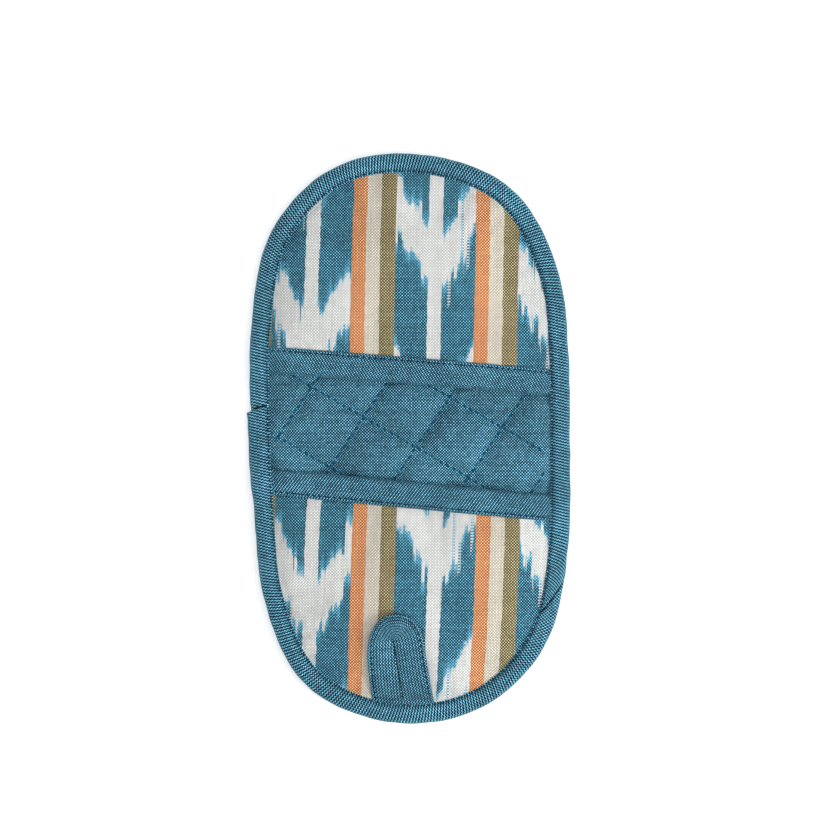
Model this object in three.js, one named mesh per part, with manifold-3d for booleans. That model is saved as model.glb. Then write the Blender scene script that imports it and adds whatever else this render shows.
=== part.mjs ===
// A short oval oven mitt that folds in half to pinch a hot pan, lying flat on its back.
// A padded base panel carries a pocket at each end, one for the fingers and one for the thumb.
// Bias tape binds the whole edge and each pocket mouth, and a loop of tape hangs the mitt up.
//
// Millimetres. +Z is up, +Y points to the upper pocket, and the origin is the middle of the underside.
// Cloth layers that touch in the sewn mitt stand SEAM_GAP apart here.
// The panels that cross the fold are cut there into an upper and a lower half.

import * as THREE from "three";
import { mergeVertices } from "three/addons/utils/BufferGeometryUtils.js";
import Module from "manifold-3d";

// ---- Driving dimensions -------------------------------------------------------------------------

// Outer edge of the mitt, as it was cut and bound, anticlockwise from the right-hand side.
const OUTLINE_POINTS = [
  [68, -8], [67.5, 31.5], [63, 70.5], [44, 105], [8.5, 119.7], [-30.5, 115.3], [-58, 88], [-66.5, 49.5],
  [-67.3, 10.5], [-65.5, -29], [-61, -68.5], [-44, -103.5], [-8.5, -119.5], [30.5, -113.5], [58, -86],
  [67, -47.5],
];
const OUTLINE_STEPS = 56;
const SPINE_HALF_LENGTH = 52; // the outline's end curves are centred on the two ends of this line

const CLOTH = 0.6; // woven cotton
const TAPE = 0.8; // bias tape, folded
const SEAM_GAP = 0.3;
const BINDING_WIDTH = 8.4; // of the edge binding, on each face
const MOUTH_TAPE_WIDTH = 11;
const EDGE_INSET = 1.6; // from the outer edge to the cut edge of the layers inside the binding
const THREAD = 0.5;

const BASE_BATTING = 4;
const POCKET_BATTING = 1.8;
const PRESSED_BATTING = 1; // under the edge binding
const CAVITY = 6.5; // greatest height inside a pocket
const UNDER_TAPE = BINDING_WIDTH + 0.2; // layers are pressed flat out to here

// The bound edge of a pocket's mouth is a straight line: y = middle + slope * x.
const UPPER_MOUTH = { middle: 23.1, slope: -0.08, inward: 1 };
const LOWER_MOUTH = { middle: -17.9, slope: -0.095, inward: -1 };

// The fold's axis runs along X, midway between the mouths and just below the underside.
const FOLD_AXIS_Y = 2.5;
const FOLD_AXIS_Z = -1.5;
const BACK_BEND_DEG = 45; // the halves can bend this far towards the pocket side
const FOLD_CLEARANCE = 0.3;

// The edge binding is two strips of tape: a diagonal seam joins them at the lower right,
// and the short strip's folded end covers the long strip's end at the left.
const DIAGONAL_SEAM = { x: 57, y: -68.4, angleDeg: 45 };
const OVERLAP_SEAM = { x: -63, y: 12.9, angleDeg: 11 };
const OVERLAP_BULGE = 0.9;
const OVERLAP_FADE = [-32, -8]; // the bulge grows between these two places on Y

// Two families of parallel quilting lines, each shifted so far from the origin.
const QUILT_PITCH = 25.4;
const QUILT_FAMILIES = [{ angleDeg: 56, shift: -4.5 }, { angleDeg: -30, shift: -1.6 }];
const QUILT_LINES_EACH_WAY = 5;
const QUILT_INSET = 17;

const LOOP_THICKNESS = 2.4;
const LOOP_INSET = 9.2; // the loop turns where it comes out from under the edge binding
const LOOP_SLIT = 0.5; // between its two legs
const LOOP_STITCH_INSET = 1.6;

const FAR = 400; // larger than the mitt, for cutting

// ---- Solids and cuts ----------------------------------------------------------------------------

const wasm = await Module();
wasm.setup();

// A closed three.js geometry as a manifold-3d solid.
function solidOf(geometry) {
  const bare = geometry.index ? geometry.toNonIndexed() : geometry.clone();
  bare.deleteAttribute("normal");
  bare.deleteAttribute("uv");
  const merged = mergeVertices(bare, 1e-4);
  return new wasm.Manifold(
    new wasm.Mesh({
      numProp: 3,
      vertProperties: new Float32Array(merged.attributes.position.array),
      triVerts: new Uint32Array(merged.index.array),
    }),
  );
}

function geometryOf(solid) {
  const mesh = solid.getMesh();
  const positions = new Float32Array(mesh.numVert * 3);
  for (let i = 0; i < mesh.numVert; i++) {
    positions.set(mesh.vertProperties.subarray(i * mesh.numProp, i * mesh.numProp + 3), i * 3);
  }
  const geometry = new THREE.BufferGeometry();
  geometry.setAttribute("position", new THREE.BufferAttribute(positions, 3));
  geometry.setIndex(new THREE.BufferAttribute(new Uint32Array(mesh.triVerts), 1));
  geometry.computeVertexNormals();
  return geometry;
}

// A long block that fills one side of a vertical plane through (x, y): the side to the left of the
// direction angleDeg, moved away from the plane by back.
function leftOf(x, y, angleDeg, back = 0) {
  const block = new THREE.BoxGeometry(2 * FAR, FAR, FAR);
  block.translate(0, FAR / 2 + back, 0);
  block.rotateZ(THREE.MathUtils.degToRad(angleDeg));
  block.translate(x, y, 0);
  return solidOf(block);
}

// The space on one side of the fold (side 1 is the upper half), leaning away from the other half
// so that both can bend BACK_BEND_DEG without meeting.
function foldSide(side) {
  const block = new THREE.BoxGeometry(2 * FAR, FAR, FAR);
  block.translate(0, side * (FAR / 2 + FOLD_CLEARANCE / 2), 0);
  block.rotateX(-side * THREE.MathUtils.degToRad(BACK_BEND_DEG / 2 + 1));
  block.translate(0, FOLD_AXIS_Y, FOLD_AXIS_Z);
  return solidOf(block);
}

// The space beyond a pocket's mouth, on the pocket's side, starting inset millimetres inside its edge.
function beyondMouth(mouth, inset) {
  const angle = THREE.MathUtils.radToDeg(Math.atan(mouth.slope));
  const turned = mouth.inward > 0 ? angle : angle + 180;
  return leftOf(0, mouth.middle, turned, inset);
}

// ---- The outline and its insets -----------------------------------------------------------------

const outlineCurve = new THREE.CatmullRomCurve3(
  OUTLINE_POINTS.map(([x, y]) => new THREE.Vector3(x, y, 0)),
  true,
  "catmullrom",
  0.5,
);
const outline = outlineCurve
  .getSpacedPoints(OUTLINE_STEPS)
  .slice(0, OUTLINE_STEPS)
  .map((p) => new THREE.Vector2(p.x, p.y));

// The point that lies inset millimetres inside outline point i.
function insetPoint(i, inset) {
  const p = outline[i];
  const spine = new THREE.Vector2(0, THREE.MathUtils.clamp(p.y, -SPINE_HALF_LENGTH, SPINE_HALF_LENGTH));
  return p.clone().addScaledVector(spine.sub(p).normalize(), inset);
}

// Straight-line interpolation through [inset, height] knots.
function profile(knots) {
  return (inset) => {
    const next = knots.findIndex(([at]) => at >= inset);
    if (next === 0) return knots[0][1];
    if (next < 0) return knots[knots.length - 1][1];
    const [a, za] = knots[next - 1];
    const [b, zb] = knots[next];
    return za + ((zb - za) * (inset - a)) / (b - a);
  };
}

// A sheet that follows the outline, from inset start to the middle, between two height profiles.
// Its rings lie at the given insets, and it is flat inside the last one.
function sheet(start, rings, low, high) {
  const insets = [start, ...rings.filter((r) => r > start + 0.5)];
  const n = OUTLINE_STEPS;
  const positions = [];
  for (const height of [low, high]) {
    for (const inset of insets) {
      for (let i = 0; i < n; i++) {
        const p = insetPoint(i, inset);
        positions.push(p.x, p.y, height(inset));
      }
    }
  }
  const layer = insets.length * n;
  const faces = [];
  const quad = (a, b, c, d) => faces.push(a, b, c, a, c, d);
  for (let i = 0; i < n; i++) {
    const j = (i + 1) % n;
    quad(i, j, layer + j, layer + i); // cut edge
    for (let k = 0; k < insets.length - 1; k++) {
      const outer = k * n;
      const inner = (k + 1) * n;
      quad(outer + j, outer + i, inner + i, inner + j);
      quad(layer + outer + i, layer + outer + j, layer + inner + j, layer + inner + i);
    }
  }
  const last = (insets.length - 1) * n;
  const inside = outline.map((_, i) => insetPoint(i, insets[insets.length - 1]));
  for (const [a, b, c] of THREE.ShapeUtils.triangulateShape(inside, [])) {
    faces.push(last + a, last + c, last + b);
    faces.push(layer + last + a, layer + last + b, layer + last + c);
  }
  const geometry = new THREE.BufferGeometry();
  geometry.setAttribute("position", new THREE.Float32BufferAttribute(positions, 3));
  geometry.setIndex(faces);
  return solidOf(geometry);
}

// ---- Heights of the layers, from the underside up -----------------------------------------------

const raised = (height, by) => (inset) => height(inset) + by;

const BASE_RINGS = [UNDER_TAPE, 12, 16, 21];
const coverPressed = TAPE + SEAM_GAP;
const coverLow = profile([[UNDER_TAPE, coverPressed], [10.8, 0]]);
const coverHigh = raised(coverLow, CLOTH);
const battingLow = profile([[UNDER_TAPE, coverPressed + CLOTH + SEAM_GAP], [12, CLOTH + SEAM_GAP]]);
const battingHigh = profile([
  [UNDER_TAPE, battingLow(0) + PRESSED_BATTING],
  [12, battingLow(12) + 0.78 * BASE_BATTING],
  [16, battingLow(16) + 0.95 * BASE_BATTING],
  [21, battingLow(21) + BASE_BATTING],
]);
const liningLow = raised(battingHigh, SEAM_GAP);
const liningHigh = raised(liningLow, CLOTH);

// How a pocket rises from its seam to the middle, as a share of CAVITY.
const POCKET_RINGS = [UNDER_TAPE, 12, 17, 26, 36, 46];
const pocketRise = profile([[UNDER_TAPE, 0], [12, 0.12], [17, 0.28], [26, 0.58], [36, 0.84], [46, 1]]);
const pocketPadding = profile([[UNDER_TAPE, 0.8], [17, POCKET_BATTING]]);
const pocketLiningLow = (inset) => liningHigh(inset) + SEAM_GAP + pocketRise(inset) * (CAVITY - SEAM_GAP);
const pocketLiningHigh = raised(pocketLiningLow, CLOTH);
const pocketBattingLow = raised(pocketLiningHigh, SEAM_GAP);
const pocketBattingHigh = (inset) => pocketBattingLow(inset) + pocketPadding(inset);
const pocketCoverLow = raised(pocketBattingHigh, SEAM_GAP);
const pocketCoverHigh = raised(pocketCoverLow, CLOTH);

// Heights of the edge binding's top face: over a pocket, and over the bare base panel.
const BINDING_TOP_POCKET = pocketCoverHigh(0) + SEAM_GAP + TAPE;
const BINDING_TOP_BASE = liningHigh(0) + SEAM_GAP + TAPE;
const BINDING_RAMP = [-20, -12]; // it steps from one to the other this far outside a pocket's mouth

// ---- Base panel ---------------------------------------------------------------------------------

function basePanels(side) {
  const half = foldSide(side);
  return {
    cover: sheet(EDGE_INSET, [UNDER_TAPE, 10.8], coverLow, coverHigh).intersect(half),
    batting: sheet(EDGE_INSET + SEAM_GAP, BASE_RINGS, battingLow, battingHigh).intersect(half),
    lining: sheet(EDGE_INSET, BASE_RINGS, liningLow, liningHigh).intersect(half),
  };
}

// The quilting thread of one half, lying on the lining.
function quiltingThread(side) {
  const low = liningHigh(BASE_RINGS[BASE_RINGS.length - 1]) + SEAM_GAP;
  let lines = null;
  for (const { angleDeg, shift } of QUILT_FAMILIES) {
    for (let k = -QUILT_LINES_EACH_WAY; k <= QUILT_LINES_EACH_WAY; k++) {
      const box = new THREE.BoxGeometry(2 * FAR, THREAD, THREAD);
      box.translate(0, shift + k * QUILT_PITCH, low + THREAD / 2);
      box.rotateZ(THREE.MathUtils.degToRad(angleDeg));
      const line = solidOf(box);
      lines = lines ? lines.add(line) : line;
    }
  }
  const field = sheet(QUILT_INSET, [], () => 0, () => FAR);
  return largestPiece(lines.intersect(field).intersect(foldSide(side)));
}

// The biggest connected piece of a solid: a line that only clips a corner of the panel is left out.
function largestPiece(solid) {
  return solid.decompose().sort((a, b) => b.volume() - a.volume())[0];
}

// ---- Pockets ------------------------------------------------------------------------------------

function pocketLayers(mouth) {
  const room = beyondMouth(mouth, TAPE + SEAM_GAP);
  return {
    lining: sheet(EDGE_INSET, POCKET_RINGS, pocketLiningLow, pocketLiningHigh).intersect(room),
    batting: sheet(EDGE_INSET + SEAM_GAP, POCKET_RINGS, pocketBattingLow, pocketBattingHigh).intersect(room),
    cover: sheet(EDGE_INSET, POCKET_RINGS, pocketCoverLow, pocketCoverHigh).intersect(room),
  };
}

// Tape folded over a pocket's mouth: a flap on top, a wall across the cut edges and a flap below.
// The lower flap stops short of the seam, where the pocket closes on the base panel.
function mouthBinding(mouth) {
  const strip = beyondMouth(mouth, 0).subtract(beyondMouth(mouth, MOUTH_TAPE_WIDTH));
  const filled = beyondMouth(mouth, TAPE);
  const above = raised(pocketCoverHigh, SEAM_GAP);
  const below = raised(pocketLiningLow, -SEAM_GAP);
  const middle = raised(pocketBattingLow, 0.4);
  const topStart = BINDING_WIDTH + 0.5;
  const bottomStart = 14;
  const top = sheet(topStart, POCKET_RINGS, middle, raised(above, TAPE)).subtract(
    sheet(0, POCKET_RINGS, raised(middle, -1), above).intersect(filled),
  );
  const bottom = sheet(bottomStart, POCKET_RINGS, raised(below, -TAPE), raised(middle, 0.1)).subtract(
    sheet(0, POCKET_RINGS, below, raised(middle, 1)).intersect(filled),
  );
  return top.add(bottom).intersect(strip);
}

// The stitching that holds the tape, along its edge away from the mouth.
function mouthThread(mouth) {
  const at = MOUTH_TAPE_WIDTH - 1.5;
  const line = beyondMouth(mouth, at).subtract(beyondMouth(mouth, at + THREAD));
  const low = raised(pocketCoverHigh, TAPE + 2 * SEAM_GAP);
  return sheet(BINDING_WIDTH + 1, POCKET_RINGS, low, raised(low, THREAD)).intersect(line);
}

// ---- Edge binding -------------------------------------------------------------------------------

// Height of the binding's top face at a point of the outline: higher where a pocket lies under it.
function bindingTop(p) {
  const past = [UPPER_MOUTH, LOWER_MOUTH].map((m) => m.inward * (p.y - m.middle - m.slope * p.x));
  const share = THREE.MathUtils.smoothstep(Math.max(...past), ...BINDING_RAMP);
  return THREE.MathUtils.lerp(BINDING_TOP_BASE, BINDING_TOP_POCKET, share);
}

// A section of [inset, height] corners carried all the way round the outline.
// The corners run outwards along the bottom and back inwards along the top.
function sweepRound(sectionAt) {
  const positions = [];
  const count = sectionAt(outline[0]).length;
  for (let i = 0; i < OUTLINE_STEPS; i++) {
    for (const [inset, z] of sectionAt(outline[i])) {
      const p = insetPoint(i, inset);
      positions.push(p.x, p.y, z);
    }
  }
  const faces = [];
  for (let i = 0; i < OUTLINE_STEPS; i++) {
    const here = i * count;
    const next = ((i + 1) % OUTLINE_STEPS) * count;
    for (let k = 0; k < count; k++) {
      const m = (k + 1) % count;
      faces.push(here + k, next + k, here + m, here + m, next + k, next + m);
    }
  }
  const geometry = new THREE.BufferGeometry();
  geometry.setAttribute("position", new THREE.Float32BufferAttribute(positions, 3));
  geometry.setIndex(faces);
  return solidOf(geometry);
}

// Tape folded round the edge: a C-shaped section, open towards the middle of the mitt.
function bindingRing(bulgeAt) {
  const innerEdge = 1.2;
  return sweepRound((p) => {
    const top = bindingTop(p);
    const out = bulgeAt(p);
    return [
      [BINDING_WIDTH, 0], [1.4 - out, 0], [0.35 - out, 0.6], [-out, top / 2], [0.35 - out, top - 0.6],
      [1.4 - out, top], [BINDING_WIDTH, top], [BINDING_WIDTH, top - TAPE], [innerEdge, top - TAPE],
      [innerEdge, TAPE], [BINDING_WIDTH, TAPE],
    ];
  });
}

function edgeBindings() {
  const overlapBulge = (p) => (p.x < 0 ? OVERLAP_BULGE * THREE.MathUtils.smoothstep(p.y, ...OVERLAP_FADE) : 0);
  const long = bindingRing(() => 0);
  const short = bindingRing(overlapBulge);
  const gap = SEAM_GAP / 2;
  const leftSide = leftOf(0, 0, 90);
  const farRight = leftOf(30, 0, -90);
  const { x, y, angleDeg } = DIAGONAL_SEAM;
  const o = OVERLAP_SEAM;
  return {
    upper: long.intersect(foldSide(1)).subtract(leftOf(o.x, o.y, o.angleDeg + 180, -gap).intersect(leftSide)),
    end: short.intersect(foldSide(1)).intersect(leftOf(o.x, o.y, o.angleDeg + 180, gap)).intersect(leftSide),
    right: long.intersect(foldSide(-1)).intersect(leftOf(x, y, angleDeg, gap)).intersect(farRight),
    lower: short.intersect(foldSide(-1)).subtract(leftOf(x, y, angleDeg, -gap).intersect(farRight)),
  };
}

// The line of topstitching along the binding's inner edge, on one side of the fold.
function edgeThread(side) {
  const near = BINDING_WIDTH - 1;
  const far = near - THREAD;
  const ring = sweepRound((p) => {
    const low = bindingTop(p) + SEAM_GAP;
    return [[near, low], [far, low], [far, low + THREAD], [near, low + THREAD]];
  });
  return ring.intersect(foldSide(side));
}

// ---- Hanging loop -------------------------------------------------------------------------------

// The loop's plan, inset from its edge: two legs and a round end, open at the bottom.
function loopPrism(inset) {
  const foot = -118;
  const left = -17.2 + inset;
  const right = 6.2 - inset;
  const crown = -74 - inset;
  const middle = (left + right) / 2;
  const plan = new THREE.Shape();
  plan.moveTo(left + 2.8, foot);
  plan.quadraticCurveTo(left - 0.4, -96, left, -87);
  plan.bezierCurveTo(left + 0.6, -79, middle - 6, crown, middle, crown);
  plan.bezierCurveTo(middle + 6.5, crown, right - 1, -78, right, -84);
  plan.quadraticCurveTo(right + 1.8, -98, right + 5.8, foot);
  plan.closePath();
  return solidOf(new THREE.ExtrudeGeometry(plan, { depth: 60, bevelEnabled: false, curveSegments: 7 }));
}

// Folded tape turned back on itself, its two legs side by side, lying on the lower pocket.
function hangingLoop() {
  const slit = new THREE.BoxGeometry(LOOP_SLIT, 34, 80);
  slit.translate(0, -17, 30);
  slit.rotateZ(THREE.MathUtils.degToRad(9.5));
  slit.translate(-6, -84.5, 0);
  const low = raised(pocketCoverHigh, SEAM_GAP);
  const laid = sheet(LOOP_INSET, POCKET_RINGS, low, raised(low, LOOP_THICKNESS));
  return laid.intersect(loopPrism(0)).subtract(solidOf(slit));
}

function loopThread() {
  const low = raised(pocketCoverHigh, LOOP_THICKNESS + 2 * SEAM_GAP);
  const laid = sheet(LOOP_INSET + 1, POCKET_RINGS, low, raised(low, THREAD));
  return laid.intersect(loopPrism(LOOP_STITCH_INSET)).subtract(loopPrism(LOOP_STITCH_INSET + THREAD));
}

// ---- Materials and assembly ---------------------------------------------------------------------

const cloth = (color) => new THREE.MeshStandardMaterial({ color, roughness: 0.9, metalness: 0 });
const ikat = cloth(0x6d99a8);
const teal = cloth(0x2b7394);
const tape = cloth(0x256a8a);
const wadding = cloth(0xe9e6dd);
const thread = cloth(0x15607f);

const mitt = new THREE.Group();

function add(parent, name, solid, material) {
  const mesh = new THREE.Mesh(geometryOf(solid), material);
  mesh.name = name;
  parent.add(mesh);
}

function addHalf(name, side, mouth) {
  const half = new THREE.Group();
  const base = basePanels(side);
  const pocket = pocketLayers(mouth);
  add(half, `back_cover_${name}`, base.cover, ikat);
  add(half, `back_batting_${name}`, base.batting, wadding);
  add(half, `back_lining_${name}`, base.lining, teal);
  add(half, `quilting_thread_${name}`, quiltingThread(side), thread);
  add(half, `${name}_pocket_lining`, pocket.lining, teal);
  add(half, `${name}_pocket_batting`, pocket.batting, wadding);
  add(half, `${name}_pocket_cover`, pocket.cover, ikat);
  add(half, `${name}_mouth_binding`, mouthBinding(mouth), tape);
  add(half, `${name}_mouth_thread`, mouthThread(mouth), thread);
  add(half, `edge_thread_${name}`, edgeThread(side), thread);
  mitt.add(half);
  return half;
}

const upperHalf = addHalf("upper", 1, UPPER_MOUTH);
const lowerHalf = addHalf("lower", -1, LOWER_MOUTH);
const bindings = edgeBindings();
add(upperHalf, "edge_binding_upper", bindings.upper, tape);
add(upperHalf, "edge_binding_end", bindings.end, tape);
add(lowerHalf, "edge_binding_lower", bindings.lower, tape);
add(lowerHalf, "edge_binding_right", bindings.right, tape);
add(lowerHalf, "hanging_loop", hangingLoop(), tape);
add(lowerHalf, "loop_thread", loopThread(), thread);

export default mitt;
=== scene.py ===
"""A short oval oven mitt that folds in half to pinch, lying on its back on a pale floor.

The CAD model gives the outline, the heights of the layers and the joints. This script sews the
cloth round it: quilted panels, padded pockets, bias tape, single stitches and the hanging loop.
Lengths are in millimetres until a mesh is made.
"""

import math

import bpy
import numpy as np
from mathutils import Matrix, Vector
from mathutils.geometry import convex_hull_2d


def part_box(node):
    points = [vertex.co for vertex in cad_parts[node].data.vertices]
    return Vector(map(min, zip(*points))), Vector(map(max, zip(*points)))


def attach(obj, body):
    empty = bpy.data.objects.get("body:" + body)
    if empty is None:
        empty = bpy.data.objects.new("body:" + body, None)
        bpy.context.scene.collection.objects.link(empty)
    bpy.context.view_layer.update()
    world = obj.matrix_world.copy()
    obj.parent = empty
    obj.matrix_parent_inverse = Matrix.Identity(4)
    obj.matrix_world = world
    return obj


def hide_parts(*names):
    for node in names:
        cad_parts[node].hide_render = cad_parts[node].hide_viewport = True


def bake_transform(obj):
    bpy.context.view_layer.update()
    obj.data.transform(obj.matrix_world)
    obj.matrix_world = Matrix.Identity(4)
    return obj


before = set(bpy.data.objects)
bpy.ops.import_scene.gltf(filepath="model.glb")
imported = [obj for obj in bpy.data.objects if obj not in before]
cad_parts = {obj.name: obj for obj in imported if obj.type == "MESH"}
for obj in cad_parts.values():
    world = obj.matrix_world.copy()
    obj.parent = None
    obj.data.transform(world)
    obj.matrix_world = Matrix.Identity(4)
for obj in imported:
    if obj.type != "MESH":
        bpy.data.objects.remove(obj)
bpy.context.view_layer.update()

MM = 0.001
UPPER = "upper_half"
LOWER = "lower_half"

# ---- Driving dimensions -----------------------------------

SPINE = 52.0  # half the length of the line that the outline's round ends are centred on
CAP_RADIUS = 67.0
ROUND_TRIP = 4 * SPINE + 2 * math.pi * CAP_RADIUS

CLOTH = 0.5
TAPE = 0.75
GAP = 0.05  # between layers that touch
BINDING_WIDTH = 8.4
GROOVE_AT = BINDING_WIDTH - 0.7  # the edge binding's stitches lie in a groove at this inset
PRESSED = 8.6  # the layers are pressed flat from the edge to here
EDGE_INSET = 1.6  # of the panels' cut edge
MOUTH_TAPE_WIDTH = 11.0
MOUTH_GROOVE_AT = MOUTH_TAPE_WIDTH - 1.4

QUILT_PITCH = 25.4
QUILT_FAMILIES = ((56.0, -4.5), (-30.0, -1.6))  # angle in degrees, shift
QUILT_DEPTH = 2.0

STITCH_PITCH = 2.8
STITCH_LENGTH = 2.1
STITCH_RADIUS = 0.27

# The bound edge of each pocket's mouth is the line y = middle + slope * x.
# sag is how much of its height the pocket has lost at the mouth.
UPPER_MOUTH = {"middle": 23.1, "slope": -0.08, "inward": 1.0, "sag": 0.25}
LOWER_MOUTH = {"middle": -17.9, "slope": -0.095, "inward": -1.0, "sag": 0.6}


def low_z(node):
    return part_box(node)[0].z / MM


def high_z(node):
    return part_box(node)[1].z / MM


LINING_MIDDLE = high_z("back_lining_upper")
LINING_EDGE = low_z("back_lining_upper") + CLOTH
POCKET_TOP_MIDDLE = high_z("upper_pocket_cover")
POCKET_TOP_EDGE = low_z("upper_pocket_cover") + CLOTH
POCKET_LOW_MIDDLE = high_z("upper_pocket_lining") - CLOTH
POCKET_LOW_EDGE = low_z("upper_pocket_lining")
COVER_EDGE = high_z("back_cover_upper") - CLOTH

# ---- The outline ------------------------------------------


def around(x, y):
    """How far round the mitt each point lies, and its distance from the spine."""
    beyond = y - np.clip(y, -SPINE, SPINE)
    angle = np.arctan2(beyond, x)
    side = np.where(x >= 0, y, 2 * SPINE + math.pi * CAP_RADIUS - y)
    cap = np.where(y > 0, SPINE + angle * CAP_RADIUS, angle * CAP_RADIUS - SPINE)
    t = np.where(np.abs(y) > SPINE, cap, side)
    return np.mod(t, ROUND_TRIP), np.hypot(x, beyond)


def outward(t):
    """The spine point and the outward direction at a place round the mitt."""
    t = np.mod(t + SPINE, ROUND_TRIP) - SPINE
    half_turn = math.pi * CAP_RADIUS
    angle = np.clip(t - SPINE, 0, half_turn) + np.clip(t - 3 * SPINE - half_turn, 0, half_turn)
    angle = angle / CAP_RADIUS
    y = np.clip(t, -SPINE, SPINE) - np.clip(t - SPINE - half_turn, 0, 2 * SPINE)
    return y, np.cos(angle), np.sin(angle)


def read_outline(samples=720, harmonics=22):
    """The outline's distance from the spine, read from the CAD back cover and smoothed."""
    points = []
    for name in ("back_cover_upper", "back_cover_lower"):
        points += [(v.co.x / MM, v.co.y / MM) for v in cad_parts[name].data.vertices]
    ring = np.array([points[i] for i in convex_hull_2d([Vector(p) for p in points])])
    t, r = around(ring[:, 0], ring[:, 1])
    cut_inset = (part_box("edge_binding_upper")[1].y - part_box("back_cover_upper")[1].y) / MM
    order = np.argsort(t)
    places = np.arange(samples) * ROUND_TRIP / samples
    radius = np.interp(places, t[order], r[order], period=ROUND_TRIP) + cut_inset
    spectrum = np.fft.rfft(radius)
    spectrum[harmonics:] = 0
    return places, np.fft.irfft(spectrum, samples)


OUTLINE_T, OUTLINE_R = read_outline()


def radius_at(t):
    return np.interp(t, OUTLINE_T, OUTLINE_R, period=ROUND_TRIP)


def inset_of(x, y):
    """How far inside the outline each point lies."""
    t, r = around(x, y)
    return radius_at(t) - r


def inset_point(t, inset):
    y, dx, dy = outward(t)
    r = radius_at(t) - inset
    return r * dx, y + r * dy


def run_along(line):
    """How far along a line of points each of them lies."""
    return np.concatenate([[0], np.cumsum(np.linalg.norm(np.diff(line, axis=0), axis=1))])


def even_steps(t0, t1, step, inset):
    """Places round the mitt from t0 to t1, evenly spaced along the line at that inset."""
    t = np.linspace(t0, t1, 2000)
    run = run_along(np.column_stack(inset_point(t, inset)))
    along = np.linspace(0, run[-1], round(run[-1] / step) + 1)
    return np.interp(along, run, t), along


def place_at(x, y):
    return float(around(np.array(float(x)), np.array(float(y)))[0])


# ---- Heights of the layers --------------------------------


def smoothstep(x, low, high):
    s = np.clip((x - low) / (high - low), 0, 1)
    return s * s * (3 - 2 * s)


def profile(knots, softness):
    """A function through (inset, share) knots, with its corners rounded off."""
    step = 0.25
    at = np.arange(-20, 90, step)
    values = np.interp(at, [k[0] for k in knots], [k[1] for k in knots])
    reach = int(3 * softness / step)
    kernel = np.exp(-0.5 * (np.arange(-reach, reach + 1) * step / softness) ** 2)
    padded = np.pad(values, reach, mode="edge")
    smooth = np.convolve(padded, kernel / kernel.sum(), mode="valid")
    return lambda inset: np.interp(inset, at, smooth)


base_rise = profile([(PRESSED, 0), (12, 0.58), (16, 0.92), (21, 1)], 0.8)
pocket_rise = profile([(PRESSED, 0), (12, 0.2), (17, 0.4), (26, 0.66), (36, 0.87), (46, 1)], 2.0)
pocket_padding = profile([(PRESSED, 0), (17, 1)], 1.5)
cover_drop = profile([(PRESSED, 1), (11, 0)], 0.6)


def waves(x, y, size, seed):
    """A smooth random field of about -1 to 1, with bumps of the given size."""
    random = np.random.default_rng(seed)
    total = 0
    for _ in range(14):
        angle = random.uniform(0, 2 * math.pi)
        length = size * random.uniform(0.7, 1.8)
        phase = random.uniform(0, 2 * math.pi)
        along = x * math.cos(angle) + y * math.sin(angle)
        total = total + np.sin(2 * math.pi * along / length + phase)
    return total / 5


def quilt_distances(x, y):
    """Distance from each point to the nearest quilting line of each family."""
    distances = []
    for angle, shift in QUILT_FAMILIES:
        a = math.radians(angle)
        across = y * math.cos(a) - x * math.sin(a) - shift
        distances.append(np.abs(np.mod(across + QUILT_PITCH / 2, QUILT_PITCH) - QUILT_PITCH / 2))
    return distances


def quilt_crease(x, y):
    """0 on the crown of a quilted square, 1 on a quilting line."""
    first, second = quilt_distances(x, y)
    crease = 0
    for d in (first, second):
        crease = crease + 0.8 * np.exp(-((d / 2.4) ** 1.1)) + 0.2 * np.exp(-((d / 9.0) ** 2))
    return np.minimum(crease, 1.25)


def base_top(x, y):
    """Top of the base panel's lining."""
    inset = inset_of(x, y)
    height = LINING_EDGE + (LINING_MIDDLE + 0.9 - LINING_EDGE) * base_rise(inset)
    room = smoothstep(inset, PRESSED, 18)
    pucker = 0.12 * waves(x, y, 6, 3) * quilt_crease(x, y)
    return height - room * (QUILT_DEPTH * quilt_crease(x, y) - pucker)


def base_bottom(x, y):
    """Underside of the base panel's cover."""
    inset = inset_of(x, y)
    room = smoothstep(inset, PRESSED, 18)
    return COVER_EDGE * cover_drop(inset) + 0.55 * QUILT_DEPTH * room * quilt_crease(x, y)


def pocket_low(x, y):
    """Underside of a pocket's lining."""
    inset = inset_of(x, y)
    rise = pocket_rise(inset)
    for mouth in (UPPER_MOUTH, LOWER_MOUTH):
        near = (1 - smoothstep(past_mouth(x, y, mouth), 4, 34)) * (mouth["inward"] * y > 0)
        rise = rise * (1 - mouth["sag"] * near)
    soft = 0.4 * waves(x, y, 45, 11) * smoothstep(inset, 12, 35)
    return POCKET_LOW_EDGE + (POCKET_LOW_MIDDLE - POCKET_LOW_EDGE) * rise + soft


def pocket_top(x, y):
    """Top of a pocket's cover."""
    inset = inset_of(x, y)
    edge = POCKET_TOP_EDGE - POCKET_LOW_EDGE
    middle = POCKET_TOP_MIDDLE - POCKET_LOW_MIDDLE
    t, _ = around(x, y)
    pucker = 0.22 * np.sin(2 * math.pi * t / 11 + 2 * waves(t, 0 * t, 40, 5))
    pucker = pucker * smoothstep(inset, 7, 10) * (1 - smoothstep(inset, 10, 20))
    soft = 0.35 * waves(x, y, 28, 7) * smoothstep(inset, 12, 30)
    valley = 0.45 * np.exp(-(((inset - 9.3) / 1.1) ** 2))
    return pocket_low(x, y) + edge + (middle - edge) * pocket_padding(inset) + pucker + soft - valley


def past_mouth(x, y, mouth):
    """How far inside a pocket a point lies, measured squarely from the mouth's line."""
    slant = math.hypot(1, mouth["slope"])
    return mouth["inward"] * (y - mouth["middle"] - mouth["slope"] * x) / slant


# ---- Meshes -----------------------------------------------


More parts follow.
